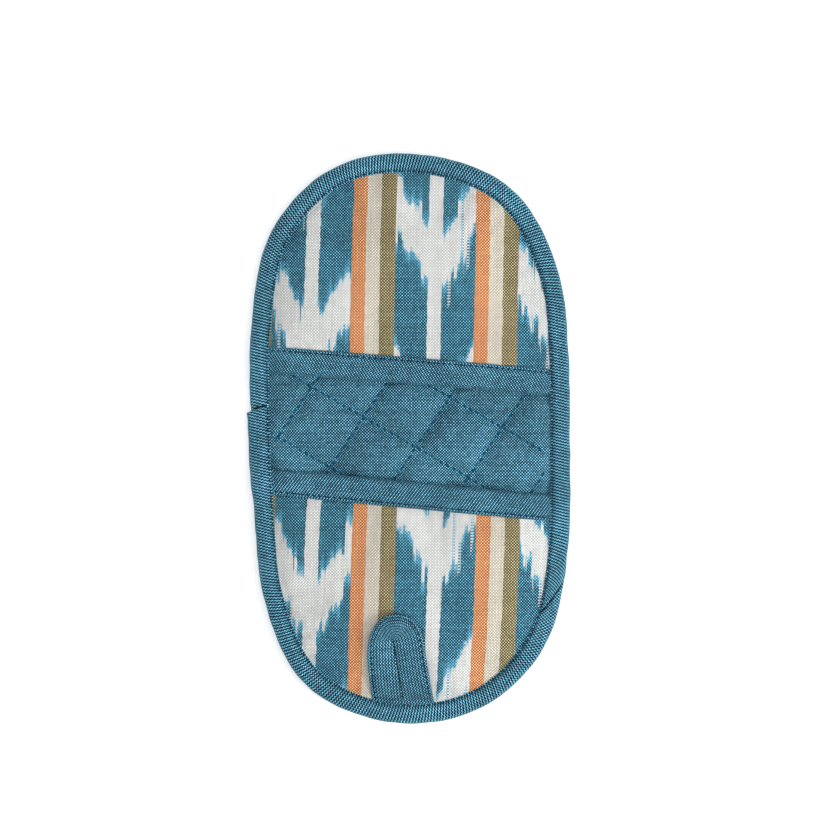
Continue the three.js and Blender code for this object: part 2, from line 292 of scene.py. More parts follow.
def new_object(name, points, faces, material, uv=None):
    """A smooth mesh object from points in millimetres, with its cloth coordinates as a UV map."""
    mesh = bpy.data.meshes.new(name)
    mesh.from_pydata((np.asarray(points) * MM).tolist(), [], [list(map(int, f)) for f in faces])
    mesh.validate()
    mesh.polygons.foreach_set("use_smooth", [True] * len(mesh.polygons))
    if uv is not None:
        layer = mesh.uv_layers.new(name="cloth")
        corners = np.empty(len(mesh.loops), int)
        mesh.loops.foreach_get("vertex_index", corners)
        layer.data.foreach_set("uv", np.asarray(uv, float)[corners].ravel())
    mesh.materials.append(material)
    obj = bpy.data.objects.new(name, mesh)
    bpy.context.scene.collection.objects.link(obj)
    return obj


def cloth_grid(axes, step, settle, inside):
    """A grid of quads over a region. axes holds (normal angle, shift) of the two families of grid
    lines, inside says which points count, and settle moves the others onto the region's edge."""
    normals = np.array([[math.cos(math.radians(a)), math.sin(math.radians(a))] for a, _ in axes])
    shifts = np.array([shift for _, shift in axes])
    reach = int(150 / step)
    i, j = np.meshgrid(np.arange(-reach, reach + 1), np.arange(-reach, reach + 1), indexing="ij")
    lines = np.stack([i * step + shifts[0], j * step + shifts[1]], axis=-1)
    points = lines @ np.linalg.inv(normals).T
    good = inside(points[..., 0], points[..., 1])
    cells = good[:-1, :-1] | good[1:, :-1] | good[1:, 1:] | good[:-1, 1:]
    number = np.full(good.shape, -1)
    used = np.zeros(good.shape, bool)
    for di in (0, 1):
        for dj in (0, 1):
            used[di:used.shape[0] - 1 + di, dj:used.shape[1] - 1 + dj] |= cells
    number[used] = np.arange(used.sum())
    a, b = number[:-1, :-1][cells], number[1:, :-1][cells]
    c, d = number[1:, 1:][cells], number[:-1, 1:][cells]
    quads = np.stack([a, b, c, d], axis=-1)
    flat = points[used]
    corner, second, third = flat[quads[0, :3]]
    faces_down = np.cross(second - corner, third - corner) < 0
    if faces_down:
        quads = quads[:, ::-1]
    x, y = settle(flat[:, 0], flat[:, 1])
    return x, y, quads


def lowered(points, depth):
    return points - np.array([0, 0, depth])


def shell(name, grid, low, high, material):
    """A closed layer of cloth over a grid, between two sheets of points."""
    x, y, quads = grid
    count = len(x)
    points = np.concatenate([high, low])
    faces = [tuple(q) for q in quads] + [tuple(q[::-1] + count) for q in quads]
    edges = np.concatenate([quads[:, [k, (k + 1) % 4]] for k in range(4)])
    keys = {tuple(e) for e in edges.tolist()}
    rim = [(a, b) for a, b in keys if (b, a) not in keys]
    faces += [(b, a, a + count, b + count) for a, b in rim]
    uv = np.stack([np.tile(x, 2), np.tile(y, 2)], -1)
    return new_object(name, points, faces, material, uv)


def padded_layers(naming, grid, low, high, cloths):
    """Batting between two layers of cloth. naming turns a layer's key into the name of its piece, and
    cloths holds the lower cloth's key and material, then the upper's."""
    low_key, high_key = cloths
    gap = CLOTH + GAP
    return {
        low_key: shell(naming(low_key), grid, low, lowered(low, -CLOTH), cloths[low_key]),
        "batting": shell(naming("batting"), grid, lowered(low, -gap), lowered(high, gap), BATTING),
        high_key: shell(naming(high_key), grid, lowered(high, CLOTH), high, cloths[high_key]),
    }


def sweep(name, rings, material, uv):
    """A closed skin over rings of points, with both ends capped. The caps have points of their own,
    so that they meet the skin in a crisp edge."""
    count, size, _ = rings.shape
    faces = []
    for k in range(size):
        after = (k + 1) % size
        ring = np.arange(count - 1) * size
        faces.append(np.stack([ring + k, ring + after, ring + size + after, ring + size + k], -1))
    faces = [tuple(f) for f in np.concatenate(faces)]
    faces.append(tuple(range(count * size, (count + 1) * size))[::-1])
    faces.append(tuple(range((count + 1) * size, (count + 2) * size)))
    points = np.concatenate([rings.reshape(-1, 3), rings[0], rings[-1]])
    uv = np.concatenate([uv.reshape(-1, 2), uv[0], uv[-1]])
    return new_object(name, points, faces, material, uv)


def stitches(name, lines, material, pitch=STITCH_PITCH, length=STITCH_LENGTH, radius=STITCH_RADIUS):
    """Single stitches along lines of points: each rises out of the cloth, runs along it and dips back."""
    sides = 6
    steps = np.linspace(0, 1, 6)
    rise = radius * (1.5 * np.sin(math.pi * steps) - 0.9)
    fat = radius * np.array([0.35, 0.95, 1, 1, 0.95, 0.35])
    points = []
    faces = []
    for line in lines:
        run = run_along(line)
        for start in np.arange(0.4, run[-1] - length, pitch):
            at = start + steps * length
            centre = np.stack([np.interp(at, run, line[:, k]) for k in range(3)], -1)
            along = centre[-1] - centre[0]
            along /= np.linalg.norm(along)
            side = np.cross(along, (0, 0, 1))
            side /= np.linalg.norm(side)
            up = np.cross(side, along)
            base = len(points)
            for c, h, f in zip(centre, rise, fat):
                for k in range(sides):
                    a = 2 * math.pi * k / sides
                    points.append(c + up * h + side * f * math.cos(a) + up * f * math.sin(a))
            for ring in range(base, base + (len(steps) - 1) * sides, sides):
                for k in range(sides):
                    after = (k + 1) % sides
                    faces.append((ring + k, ring + after, ring + sides + after, ring + sides + k))
            last = base + (len(steps) - 1) * sides
            faces.append(tuple(base + k for k in range(sides))[::-1])
            faces.append(tuple(last + k for k in range(sides)))
    points = np.array(points)
    return new_object(name, points, faces, material, points[:, :2])


# ---- Cloth simulation -------------------------------------


def blown_up(points, quads, sewn, pressure, slack, cap, frames=14):
    """A sheet of cloth cut larger than its place by the share slack, sewn down at some points and
    pushed up by the batting under it. Where it ends up, with no point moved by more than cap."""
    free = quads[~sewn[quads].all(axis=1)]
    used = np.unique(free)
    number = np.full(len(points), -1)
    number[used] = np.arange(len(used))
    scale = 0.01  # the solver is run on a sheet ten times as large as the mitt
    mesh = bpy.data.meshes.new("cloth_run")
    mesh.from_pydata((points[used] * scale).tolist(), [], number[free].tolist())
    obj = bpy.data.objects.new("cloth_run", mesh)
    bpy.context.scene.collection.objects.link(obj)
    group = obj.vertex_groups.new(name="sewn")
    group.add(np.flatnonzero(sewn[used]).tolist(), 1.0, "REPLACE")
    cloth = obj.modifiers.new("cloth", "CLOTH")
    cloth.collision_settings.use_collision = False
    cloth.point_cache.frame_start = 1
    cloth.point_cache.frame_end = frames
    settings = cloth.settings
    settings.quality = 5
    settings.bending_stiffness = 0.5
    settings.use_pressure = True
    settings.uniform_pressure_force = pressure
    settings.shrink_min = -slack
    settings.vertex_group_mass = "sewn"
    settings.effector_weights.gravity = 0
    for number_of_frame in range(1, frames + 1):
        bpy.context.scene.frame_set(number_of_frame)
    settled = obj.evaluated_get(bpy.context.evaluated_depsgraph_get()).data
    moved = np.empty(3 * len(used))
    settled.vertices.foreach_get("co", moved)
    shift = moved.reshape(-1, 3) / scale - points[used]
    size = np.linalg.norm(shift, axis=1, keepdims=True)
    shift *= np.minimum(1, cap / np.maximum(size, 1e-9))
    bpy.data.objects.remove(obj)
    bpy.data.meshes.remove(mesh)
    bpy.context.scene.frame_set(1)
    result = points.copy()
    result[used] += shift
    return result


# ---- Materials --------------------------------------------

WEAVE_PITCH = 0.62
WEAVE_RELIEF = 0.00012  # metres
DOT_EDGE = (-0.5, -0.25)  # where the light dots end in the wave of the weave


def srgb(r, g, b):
    """A display colour of 0 to 255 as linear RGBA."""
    def linear(c):
        c = c / 255
        return c / 12.92 if c <= 0.04045 else ((c + 0.055) / 1.055) ** 2.4
    return (linear(r), linear(g), linear(b), 1.0)


class Value:
    """An output in a node tree. Arithmetic on it adds nodes, and > gives 1 where it is true and 0
    elsewhere."""

    def __init__(self, tree, socket):
        self.tree = tree
        self.socket = socket

    def math(self, operation, a, b=0.0):
        node = self.tree.nodes.new("ShaderNodeMath")
        node.operation = operation
        for socket, value in zip(node.inputs, (a, b)):
            put(self.tree, socket, value)
        return Value(self.tree, node.outputs[0])

    def __add__(self, other):
        return self.math("ADD", self, other)

    def __sub__(self, other):
        return self.math("SUBTRACT", self, other)

    def __mul__(self, other):
        return self.math("MULTIPLY", self, other)

    def __truediv__(self, other):
        return self.math("DIVIDE", self, other)

    def __mod__(self, other):
        return self.math("FLOORED_MODULO", self, other)

    def __pow__(self, other):
        return self.math("POWER", self, other)

    def __gt__(self, other):
        return self.math("GREATER_THAN", self, other)

    def floor(self):
        return self.math("FLOOR", self)

    def size(self):
        return self.math("ABSOLUTE", self)

    def sine(self):
        return self.math("SINE", self)

    def or_more(self, other):
        return self.math("MAXIMUM", self, other)


def put(tree, socket, value):
    """Give a socket a constant, or link it to a value."""
    if isinstance(value, Value):
        tree.links.new(value.socket, socket)
    else:
        socket.default_value = value


class Nodes:
    """A material, and a short way to write its node tree."""

    def __init__(self, name):
        self.material = bpy.data.materials.new(name)
        self.material.use_nodes = True
        self.tree = self.material.node_tree
        self.shader = self.tree.nodes["Principled BSDF"]

    def node(self, kind, output, inputs, **settings):
        """A new node with the given inputs and settings, as the value of one of its outputs."""
        node = self.tree.nodes.new(f"ShaderNode{kind}")
        for key, setting in settings.items():
            setattr(node, key, setting)
        for key, value in inputs.items():
            put(self.tree, node.inputs[key], value)
        return Value(self.tree, node.outputs[output])

    def place(self):
        """The place on the cloth in millimetres."""
        uv = self.node("UVMap", "UV", {}, uv_map="cloth")
        return self.node("SeparateXYZ", "X", {0: uv}), self.node("SeparateXYZ", "Y", {0: uv})

    def vector(self, x, y, z=0.0):
        return self.node("CombineXYZ", 0, {0: x, 1: y, 2: z})

    def ramp(self, value, low, high, to_low=0.0, to_high=1.0):
        """A smooth step from to_low to to_high, as the value goes from low to high."""
        limits = {"From Min": low, "From Max": high, "To Min": to_low, "To Max": to_high}
        return self.node("MapRange", "Result", {"Value": value, **limits}, interpolation_type="SMOOTHSTEP")

    def mix(self, factor, a, b):
        return self.node("Mix", 2, {0: factor, 6: a, 7: b}, data_type="RGBA")

    def scale(self, color, factor):
        color = color if isinstance(color, Value) else color[:3]
        return self.node("VectorMath", 0, {0: color, "Scale": factor}, operation="SCALE")

    def noise(self, x, y, scale=1.0, detail=2.0, z=0.0):
        """Smooth noise of 0 to 1 at a place in millimetres; scale is bumps per millimetre."""
        return self.node("TexNoise", 0, {"Vector": self.vector(x, y, z), "Scale": scale, "Detail": detail})

    def random(self, x, y=0.0):
        """One random number of 0 to 1 for each pair of whole numbers."""
        return self.node("TexWhiteNoise", "Value", {"Vector": self.vector(x, y)}, noise_dimensions="2D")

    def bump(self, height, distance, strength=1.0):
        return self.node("Bump", 0, {"Height": height, "Distance": distance, "Strength": strength})

    def woven(self, over, dye, chance):
        """The colour of a weave of two threads, whose light dots differ in brightness."""
        dark, light, spread = dye
        light = self.scale(light, chance * spread + (1 - spread / 2))
        return self.mix(over, light, dark)

    def weave(self, x, y, rib=0.0, loose=0.12):
        """Plain weave: 0 where the light thread lies on top and 1 where the dark one does, the height
        of the threads, and a random number for each crossing. rib is how much the threads along y
        show as ribs, and loose is how far threads drift from their places."""
        end = (x + self.noise(x, y, 0.12) * (2 * loose) - loose) / WEAVE_PITCH
        pick = (y + self.noise(x, y, 0.12, z=7.0) * (2 * loose) - loose) / WEAVE_PITCH
        wave = (end * math.pi).sine() * (pick * math.pi).sine()
        if rib:
            wave = wave * (1 - rib) + (end * math.pi + math.pi / 2).sine() * rib
        chance = self.random(end.floor(), pick.floor()) * 0.6 + self.random(pick.floor(), 77.0) * 0.4
        return self.ramp(wave, *DOT_EDGE), wave.size(), chance

    def finish(self, color, normal, roughness, sheen, tint=(1, 1, 1, 1)):
        """Give the shader its inputs. The material is ready."""
        inputs = {
            "Base Color": color,
            "Normal": normal,
            "Roughness": roughness,
            "Specular IOR Level": 0.25,
            "Sheen Weight": sheen,
            "Sheen Roughness": 0.45,
            "Sheen Tint": tint,
        }
        for key, value in inputs.items():
            put(self.tree, self.shader.inputs[key], value)
        return self.material


TEAL_SHEEN = srgb(110, 185, 210)

# A dye is the dark thread, the light dots that cross it, and how much the dots differ in brightness.
CHAMBRAY = (srgb(0, 32, 58), srgb(134, 213, 238), 0.9)
IKAT_TEAL = (srgb(0, 30, 58), srgb(120, 210, 236), 0.9)
IKAT_HALO = (srgb(0, 130, 170), srgb(176, 232, 242), 0.4)
IKAT_WHITE = (srgb(190, 193, 191), srgb(255, 253, 250), 0.15)
IKAT_STRIPES = (
    (srgb(177, 93, 39), srgb(252, 216, 170), 0.4),
    (srgb(181, 173, 155), srgb(248, 243, 234), 0.15),
    (srgb(80, 71, 26), srgb(226, 214, 176), 0.5),
)


def streaks(n, x, y, amount):
    """A factor near 1 that differs from thread to thread in both directions."""
    down = n.noise(x * 1.6, y * 0.2, detail=1.0)
    across = n.noise(x * 0.2, y * 1.6, detail=1.0, z=3.0)
    cloudy = n.noise(x, y, 0.05, z=5.0)
    return (down + across + cloudy) * amount + (1 - 1.5 * amount)


def chambray(name, rib=0.0, slant=0.0):
    """Teal warp and pale weft in plain weave."""
    n = Nodes(name)
    x, y = n.place()
    over, height, chance = n.weave(x + y * slant, y, rib)
    color = n.scale(n.woven(over, CHAMBRAY, chance), streaks(n, x, y, 0.9))
    roughness = n.ramp(over, 0, 1, 0.82, 0.94)
    return n.finish(color, n.bump(height, WEAVE_RELIEF, 0.8), roughness, 0.2, TEAL_SHEEN)


STRIPE_PITCH = 51.5  # one repeat across the cloth: a feathered panel and three stripes
PANEL_WIDTH = 33.2
STRIPE_WIDTH = 5.95
MIDDLE_STRIPE = 2.9  # half the width of the white stripe down a panel's middle
CHEVRON_REPEAT = 72.0
CHEVRON_BAND = 19.5
CHEVRON_SLOPE = 1.65


def bundle_jitter(n, slanted, panel, thread, single):
    """Threads were tied and dyed in bundles, so the white ends at a different height in each."""
    uneven = slanted + n.random(thread, 21.0) * 0.9
    bundle = n.random((uneven / 1.9).floor(), panel)
    return bundle * 7.0 + single * 3.0 - 5.0


def below_chevron(y, panel, from_middle, chevrons, jitter):
    """How far below the upper edge of its chevron each place lies. chevrons are the chevron's
    heights in the panels to the left, in the middle and to the right."""
    left, middle, right = chevrons
    level = panel * ((right - left) / 2) + panel * panel * ((right + left) / 2 - middle) + middle
    top = level + from_middle * CHEVRON_SLOPE - 3 * CHEVRON_SLOPE
    margin = CHEVRON_REPEAT / 4
    return (top - y + jitter + margin) % CHEVRON_REPEAT - margin


def feathered_band(n, below, thread, single, grain):
    """The white band and its halo. The dye creeps along each thread, so the band fades over a few
    picks through a bright blue, and some threads end in a spike."""
    spike_down = n.random(thread, 5.0) ** 4.0 * 9.0
    spike_up = n.random(thread, 6.0) ** 4.0 * 6.0
    crept = below + grain * 2.2 - 1.1
    starts = crept + spike_up
    ends = crept - spike_down - CHEVRON_BAND
    fade = 1.3
    band = n.ramp(starts, -fade, fade) * n.ramp(ends, -fade, fade, 1, 0)
    spread = single * 6.0 + 3.0
    halo = n.ramp(starts, spread * -1.0, 0.0) * n.ramp(ends, 0.0, spread, 1, 0)
    return band, halo


def with_strays(n, band, below, y, thread):
    """The band with a few threads that stay white beyond it and a few that keep their colour in it."""
    dotted = (y * (math.pi / WEAVE_PITCH)).sine() > 0.0
    stray = n.random(thread, 9.0) > 0.91
    reach = n.ramp(below, 8, 9) * n.ramp(below, CHEVRON_BAND + 12, CHEVRON_BAND + 14, 1, 0)
    missing = (n.random(thread, 14.0) > 0.955) * dotted
    return band.or_more(stray * reach * dotted) * (missing * -0.9 + 1.0)


def ikat(name, left_edge, chevrons, lean):
    """Cotton with a feathered white chevron on teal, and orange, beige and olive stripes.
    left_edge is the x of the middle panel's left edge."""
    n = Nodes(name)
    x, y = n.place()
    slanted = x + y * lean + n.noise(x, y, 0.02, 0.0) - 0.5
    panel = ((slanted - left_edge) / STRIPE_PITCH).floor()
    across = slanted - left_edge - panel * STRIPE_PITCH
    from_middle = (across - PANEL_WIDTH / 2).size()
    thread = (slanted / (2 * WEAVE_PITCH)).floor()
    pick = (y / (2 * WEAVE_PITCH)).floor()
    single = n.random(thread, 3.0)
    grain = n.random(thread, pick)

    jitter = bundle_jitter(n, slanted, panel, thread, single)
    below = below_chevron(y, panel, from_middle, chevrons, jitter)
    band, halo = feathered_band(n, below, thread, single, grain)
    middle_edge = from_middle + grain * 0.4 - 0.2
    stripe = n.ramp(middle_edge, MIDDLE_STRIPE - 0.15, MIDDLE_STRIPE + 0.2, 1, 0)
    white = with_strays(n, band, below, y, thread).or_more(stripe)

    over, height, chance = n.weave(x, y)
    color = n.woven(over, IKAT_TEAL, chance)
    color = n.mix(halo, color, n.woven(over, IKAT_HALO, chance))
    color = n.mix(white, color, n.woven(over, IKAT_WHITE, chance))
    edge = across + grain * 0.3 - 0.15
    for index, dye in enumerate(IKAT_STRIPES):
        past_edge = edge > PANEL_WIDTH + index * STRIPE_WIDTH
        color = n.mix(past_edge, color, n.woven(over, dye, chance))
    uneven_dye = streaks(n, x, y, 0.4) * (single * 0.1 + 0.95)
    # The low places between the threads are painted up to a fifth darker, as painted shade; the rest of the
    # factor is uneven dye.
    color = n.scale(color, uneven_dye * n.ramp(height, 0.0, 0.4, 0.8, 1.0))
    return n.finish(color, n.bump(height, WEAVE_RELIEF, 0.8), 0.88, 0.12)


def plain_thread(name, color):
    """Twisted sewing thread."""
    n = Nodes(name)
    x, y = n.place()
    twist = ((x + y) * 12.0).sine()
    # The grooves of the twist are painted darker, as painted shade.
    dark = tuple(c * 0.65 for c in color[:3]) + (1.0,)
    color = n.mix(n.ramp(twist, -1, 1), dark, color)
    return n.finish(color, n.bump(twist, 0.00005), 0.7, 0.2, TEAL_SHEEN)


def wadding(name):
    """Needled cotton batting."""
    n = Nodes(name)
    x, y = n.place()
    fluff = n.noise(x, y, 0.8, 5.0)
    color = n.mix(fluff, srgb(205, 200, 186), srgb(240, 237, 228))
    return n.finish(color, n.bump(fluff, 0.0005), 0.95, 0.5)


LINING_CLOTH = chambray("chambray_lining")
TAPE_CLOTH = chambray("chambray_bias_tape", rib=0.4, slant=0.25)
MOUTH_CLOTH = chambray("chambray_mouth_tape", rib=0.12, slant=0.3)
LOOP_CLOTH = chambray("chambray_loop", rib=0.25)
UPPER_IKAT = ikat("ikat_upper_pocket", -7.1, (50.2, 85.4, 59.6), -0.02)
LOWER_IKAT = ikat("ikat_lower_pocket", -3.7, (-60.0, -36.0, -46.0), -0.04)
BACK_IKAT = ikat("ikat_back", -18.0, (20.0, 47.0, 31.0), 0.0)
BATTING = wadding("cotton_batting")
THREAD = plain_thread("teal_thread", srgb(8, 62, 88))
# Very dark thread whose colour is painted shadow: it draws the dark lines in the diagonal seam, in the
# crease above the folded end and along the loop's slit.
SHADOW_THREAD = plain_thread("shadow_line_thread", srgb(0, 26, 44))
QUILTING_THREAD = plain_thread("quilting_thread", srgb(0, 96, 130))

# ---- Base panel -------------------------------------------


def oval_inside(x, y):
    return inset_of(x, y) > EDGE_INSET


def oval_settle(x, y):
    t, _ = around(x, y)
    inset = np.maximum(inset_of(x, y), EDGE_INSET)
    return inset_point(t, inset)


def base_panel():
    """Cover, batting and lining, on a grid whose lines run along the quilting."""
    axes = [(angle + 90, shift) for angle, shift in QUILT_FAMILIES]
    grid = cloth_grid(axes, QUILT_PITCH / 18, oval_settle, oval_inside)
    x, y, quads = grid
    first, second = quilt_distances(x, y)
    sewn = (np.minimum(first, second) < 0.4) | (inset_of(x, y) < PRESSED)
    flat = np.column_stack([x, y, base_top(x, y)])
    top = blown_up(flat, quads, sewn, pressure=4, slack=0.04, cap=2.2)
    bottom = np.column_stack([x, y, base_bottom(x, y)])
    cloths = {"cover": BACK_IKAT, "lining": LINING_CLOTH}
    pieces = padded_layers("back_{}".format, grid, bottom, top, cloths)
    for key, piece in pieces.items():
        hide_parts(f"back_{key}_upper", f"back_{key}_lower")
        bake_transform(piece)


def quilting_stitches():
    """Stitches along every quilting line, as far as the edge binding."""
    step = 0.5
    shortest = 6.0
    run = np.arange(-140, 140, step)
    lines = []
    for angle, shift in QUILT_FAMILIES:
        a = math.radians(angle)
        along = np.array([math.cos(a), math.sin(a)])
        normal = np.array([-math.sin(a), math.cos(a)])
        for k in range(-5, 6):
            points = run[:, None] * along + (shift + k * QUILT_PITCH) * normal
            inside = inset_of(points[:, 0], points[:, 1]) > BINDING_WIDTH + 1.5
            if inside.sum() * step > shortest:
                x, y = points[inside].T
                lines.append(np.stack([x, y, base_top(x, y) + 0.12], -1))
    piece = stitches("quilting_stitches", lines, QUILTING_THREAD, length=2.7, radius=0.36)
    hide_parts("quilting_thread_upper", "quilting_thread_lower")
    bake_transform(piece)


# ---- Pockets ----------------------------------------------


def pocket_grid(mouth):
    """A grid over one pocket, from inside its mouth's tape to the cut edge."""
    start = TAPE + 0.5

    def inside(x, y):
        return (inset_of(x, y) > EDGE_INSET) & (past_mouth(x, y, mouth) > start)

    def settle(x, y):
        for _ in range(3):
            x, y = oval_settle(x, y)
            short = np.minimum(past_mouth(x, y, mouth) - start, 0)
            y = y - mouth["inward"] * short * math.hypot(1, mouth["slope"])
        return x, y

    return cloth_grid([(0, 0.0), (90, 0.0)], 1.25, settle, inside)


def pocket(name, body, mouth, cover_cloth):
    """A pocket's lining, batting and cover."""
    grid = pocket_grid(mouth)
    x, y, quads = grid
    low = np.column_stack([x, y, pocket_low(x, y)])
    sewn = (inset_of(x, y) < PRESSED) | (past_mouth(x, y, mouth) < MOUTH_TAPE_WIDTH)
    flat = np.column_stack([x, y, pocket_top(x, y)])
    top = blown_up(flat, quads, sewn, pressure=2, slack=0.012, cap=1.2)
    cloths = {"lining": LINING_CLOTH, "cover": cover_cloth}
    pieces = padded_layers((name + "_{}_cloth").format, grid, low, top, cloths)
    for key, piece in pieces.items():
        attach(piece, body)
        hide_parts(f"{name}_{key}")


def tape_thickness(x, y):
    """The mouth's tape is squeezed flat where it runs under the edge binding."""
    return 0.3 + (TAPE - 0.3) * smoothstep(inset_of(x, y), 6, 10)


def mouth_point(x, past, mouth):
    """The y of a point that lies past the mouth's line, at each x."""
    return mouth["middle"] + mouth["slope"] * x + mouth["inward"] * past * math.hypot(1, mouth["slope"])


def mouth_columns(mouth):
    """The x of each of the tape's sections, between the places where it meets the rim."""
    x = np.linspace(-80, 80, 400)
    x = x[inset_of(x, mouth_point(x, 5.0, mouth)) > 4.0]
    return np.arange(x[0], x[-1], 1.1)


def mouth_section(x, mouth):
    """The tape's section at one x: over the pocket's top from its sewn edge, round the mouth and
    inside the pocket, then back within its own thickness."""
    width = MOUTH_TAPE_WIDTH
    reach = 2.0  # how far the fold reaches past the layers that it holds
    inner_width = 10.0
    thick = float(tape_thickness(x, mouth_point(x, 5.0, mouth)))
    top_past = [width, width + GAP, *np.linspace(width - 0.25, reach, 16)]
    low_past = np.linspace(reach, inner_width, 9)
    fold = np.radians(np.linspace(80, -80, 9))

    def surface(height, past):
        return float(height(x, mouth_point(x, max(past, 0.6), mouth)))

    points = []
    for past in top_past:
        groove = 0.3 * math.exp(-(((past - MOUTH_GROOVE_AT) / 0.5) ** 2))
        crown = 0.25 * math.sin(math.pi * min(1, past / MOUTH_GROOVE_AT))
        crease = 0.6 * thick if past > width else 0.0
        z = surface(pocket_top, past) + GAP + thick - groove + crown - crease
        points.append((min(past, width), z))
    z_top = surface(pocket_top, reach) + GAP + thick
    z_low = surface(pocket_low, reach) - GAP - thick
    middle = (z_top + z_low) / 2
    half = (z_top - z_low) / 2
    for a in fold:
        points.append((reach - reach * math.cos(a) ** 0.7, middle + half * math.sin(a)))
    for past in low_past:
        points.append((past, surface(pocket_low, past) - GAP - thick))
    for past in low_past[::-1]:
        points.append((past, surface(pocket_low, past) - GAP))
    for a in fold[::-1]:
        points.append((reach - (reach - thick) * math.cos(a) ** 0.7, middle + (half - thick) * math.sin(a)))
    for past in top_past[::-1]:
        hidden = 0.15 if past > width else 0.0
        points.append((min(past, width) - hidden, surface(pocket_top, past) + GAP))
    return [(x, mouth_point(x, past, mouth), z) for past, z in points]


def mouth_tape(name, body, mouth):
    """Tape folded over a pocket's mouth."""
    rings = np.array([mouth_section(x, mouth) for x in mouth_columns(mouth)])
    uvs = np.array([np.column_stack([ring[:, 0], run_along(ring)]) for ring in rings])
    order = -1 if mouth["inward"] > 0 else 1
    piece = sweep(f"{name}_mouth_tape", rings[::order], MOUTH_CLOTH, uvs[::order])
    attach(piece, body)
    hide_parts(f"{name}_mouth_binding")


def mouth_stitches(name, body, mouth):
    """The row of stitches that holds a mouth's tape down."""
    x = mouth_columns(mouth)
    y = mouth_point(x, MOUTH_GROOVE_AT, mouth)
    inside = inset_of(x, y) > BINDING_WIDTH
    x, y = x[inside], y[inside]
    line = np.stack([x, y, pocket_top(x, y) + GAP + TAPE - 0.2], -1)
    thread = stitches(f"{name}_mouth_stitches", [line], THREAD)
    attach(thread, body)
    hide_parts(f"{name}_mouth_thread")


# ---- Edge binding -----------------------------------------

SEAM_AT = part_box("edge_binding_right")[0].y / MM + BINDING_WIDTH / 2
SEAM_T = place_at(60, SEAM_AT) - ROUND_TRIP - 1.5  # the diagonal seam, at the lower right
JOIN_T = place_at(-60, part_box("edge_binding_end")[1].y / MM) + 0.8  # the folded end, at the left
SEAM_SLANT = -2.4
JOIN_SLANT = -0.3
SEAM_DIP = 0.12  # how much of its height the binding loses at the seam
TUCKED = 0.3  # how much lower and further in the long strip lies where the short one covers it


def stack_top(t):
    """Top of the layers that the edge binding presses together, round the mitt."""
    x, y = inset_point(t, 6.0)
    height = LINING_EDGE + 0 * t
    for mouth in (UPPER_MOUTH, LOWER_MOUTH):
        past = past_mouth(x, y, mouth)
        tape = 0.35 * smoothstep(past, -3, 1) * (1 - smoothstep(past, 9, 14))
        height = height + (POCKET_TOP_EDGE - LINING_EDGE) * smoothstep(past, -7, 1) + tape
    return height


def binding_section(t, grow):
    """Inset and height of the section's points at each place: from the sewn edge over the top, round
    the mitt's edge and along the underside, then back within the tape's thickness."""
    roll = 3.0  # how far in the rolled edge reaches
    crown_at = 3.2  # how far from the sewn edge the top is highest
    top = stack_top(t) + GAP + TAPE + grow
    x, y = inset_point(t, 4.0)
    lumps = 0.14 * waves(x, y, 7, 21) + 0.1 * waves(x, y, 22, 22)
    edge_lumps = 0.12 * waves(x, y, 9, 23) + 0.14 * waves(x, y, 40, 24)

    def outside(inset):
        groove = 0.5 * math.exp(-(((inset - GROOVE_AT) / 0.5) ** 2))
        rise = 0.75 * math.sin(math.pi * min(1.0, max(0.0, (BINDING_WIDTH - inset) / (2 * crown_at))))
        lump = lumps * math.exp(-(((inset - 5) / 3) ** 2))
        return top + rise - groove + lump

    points = []
    for back, drop in ((0.3, TAPE), (0.0, TAPE * 0.55), (0.05, 0.15)):
        inset = BINDING_WIDTH - back
        points.append((inset + 0 * t, outside(inset) - drop))
    for inset in np.linspace(BINDING_WIDTH - 0.35, roll, 16):
        points.append((inset + 0 * t, outside(inset)))
    high = outside(roll)
    low = np.maximum(0, -grow)
    middle = (high + low) / 2
    half = (high - low) / 2
    for angle in np.linspace(80, -80, 15):
        a = math.radians(angle)
        out = (roll + grow + edge_lumps) * abs(math.cos(a)) ** 0.75
        points.append((roll - out, middle + half * math.sin(a)))
    for inset in np.linspace(roll, BINDING_WIDTH, 6):
        points.append((inset + 0 * t, low))
    for inset in np.linspace(BINDING_WIDTH, roll, 6):
        points.append((inset + 0 * t, low + TAPE))
    for angle in np.linspace(-80, 80, 11):
        a = math.radians(angle)
        out = (roll - TAPE) * abs(math.cos(a)) ** 0.75 + grow * 0.9
        points.append((roll - out, middle + (half - TAPE) * math.sin(a)))
    for inset in np.linspace(roll, BINDING_WIDTH - 0.4, 8):
        points.append((inset + 0 * t, outside(inset) - TAPE))
    return points


def binding_strip(name, t0, t1, slants, dips, grow, nodes):
    """One strip of the edge binding from t0 to t1. slants are how far each end leads or trails at the
    outer edge, dips how deeply each end is sewn down, as a share of its height, and grow is how far
    the strip stands off at each place."""
    t, along = even_steps(t0, t1, 0.85, inset=4.0)
    rings = []
    shifts = []
    squash = 1.0
    pull = 0.0
    for from_end, slant, dip in zip((along, along[-1] - along), slants, dips):
        squash = squash - dip * np.exp(-((from_end / 0.9) ** 2))
        pull = pull + slant * np.clip(1 - from_end / 30, 0, 1)
    for inset, z in binding_section(t, grow(t)):
        shift = pull * (inset - BINDING_WIDTH / 2)
        x, y = inset_point(t + shift, inset)
        rings.append(np.stack([x, y, z * squash], -1))
        shifts.append(along + shift)
    rings = np.stack(rings, axis=1)
    run = [run_along(ring) for ring in rings]
    uvs = np.stack([np.stack(shifts, axis=1), run], axis=-1)
    piece = sweep(name, rings[::-1], TAPE_CLOTH, uvs[::-1])
    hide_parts(*nodes)
    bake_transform(piece)


def short_grow(t):
    """The short strip stands off most in the hem at its folded end, and lies close again below the fold."""
    bulge = 0.9 * (1 - smoothstep(t, place_at(-60, -8), place_at(-60, -32)))
    share = 1 + 2 / 3 * np.exp(-(((t - JOIN_T) / 2.5) ** 2))
    return bulge * share * (t > JOIN_T - 30) * (t < JOIN_T + 80)


